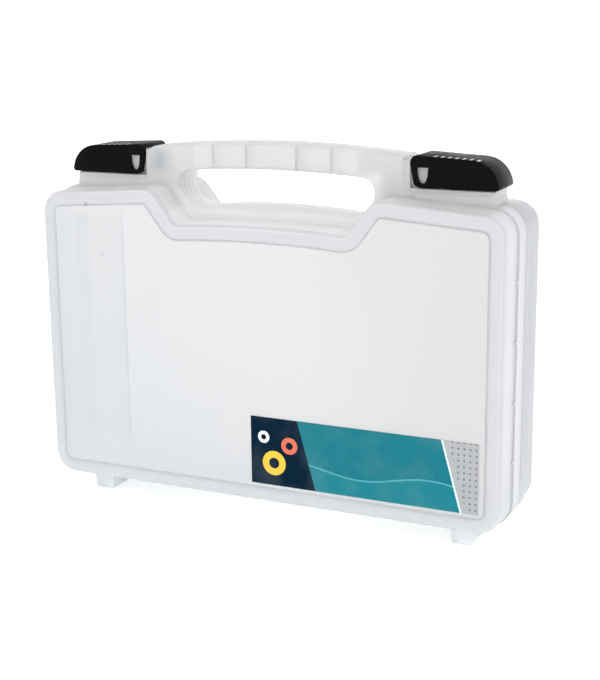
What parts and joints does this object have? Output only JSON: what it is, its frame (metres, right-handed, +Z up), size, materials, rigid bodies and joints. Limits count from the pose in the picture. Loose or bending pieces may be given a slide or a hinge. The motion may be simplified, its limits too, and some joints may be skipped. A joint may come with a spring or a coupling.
{
  "type": "art supply carrying case",
  "caption": "Translucent clamshell carrying case for art supplies, with a moulded handle, bottom hinges and sliding clasps.",
  "frame": {"origin": "table level under the middle of the case, in the parting plane of the two shells", "axes": "+X to the right as seen from the front, +Y to the back, +Z up"},
  "size_m": [0.356, 0.081, 0.269],
  "materials": {
    "shell": "satin",
    "clasp": "satin",
    "pin": "satin",
    "label": "satin"
  },
  "bodies": {
    "base": {"rear_shell": "shell", "hinge_pin_left": "pin", "hinge_pin_right": "pin"},
    "lid": {"front_shell": "shell", "label": "label"},
    "latch_left": {"clasp_left": "clasp"},
    "latch_right": {"clasp_right": "clasp"}
  },
  "joints": [
    {"name": "lid_hinge", "type": "hinge", "parent": "base", "child": "lid", "pos_m": [0, 0, 0.0071], "axis": [1, 0, 0], "range_deg": [0, 180]},
    {"name": "slide_left", "type": "slide", "parent": "base", "child": "latch_left", "axis": [-1, 0, 0], "range_m": [0, 0.0145]},
    {"name": "slide_right", "type": "slide", "parent": "base", "child": "latch_right", "axis": [1, 0, 0], "range_m": [0, 0.0145]}
  ]
}
